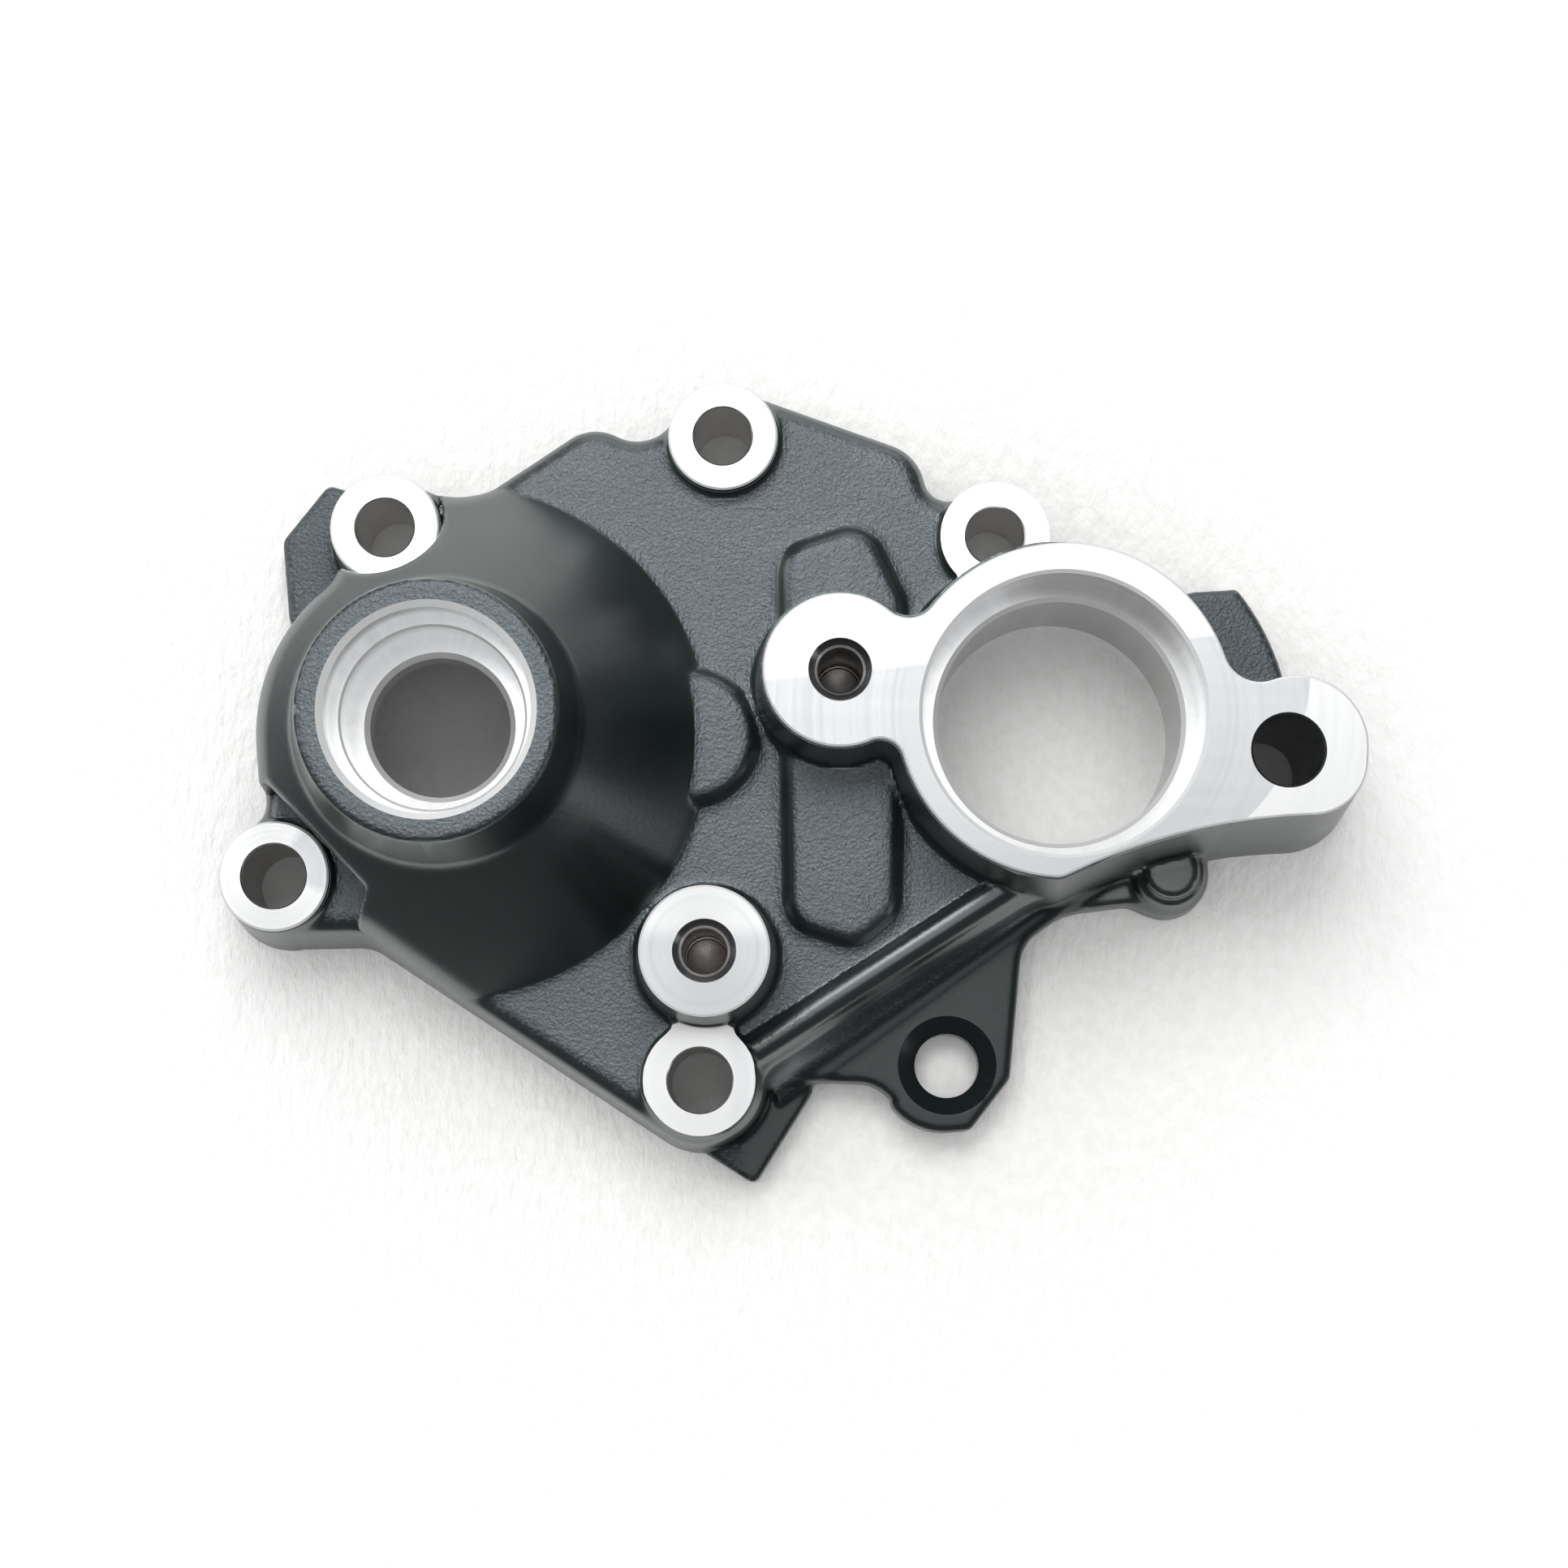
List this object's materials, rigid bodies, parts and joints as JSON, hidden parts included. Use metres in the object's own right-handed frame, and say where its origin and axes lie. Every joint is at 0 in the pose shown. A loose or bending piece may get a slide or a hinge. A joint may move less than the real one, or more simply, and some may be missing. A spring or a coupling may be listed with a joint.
{
  "type": "transmission cover",
  "caption": "Die-cast transmission cover: a lugged flange round a main bore, a hollow dome with a neck for a shaft, bolt bosses and tabs on a flat mating face.",
  "frame": {"origin": "on the main bore's axis, in the plane of the mating face", "axes": "+Z leaves the cover along the bores' axes; +X points from the neck to the main bore, along the cover's length"},
  "size_m": [0.1298, 0.0911, 0.04],
  "materials": {
    "casting": "black powder coat over cast aluminium, with bare machined faces and bores"
  },
  "bodies": {
    "root": {"cover": "casting"}
  },
  "joints": []
}
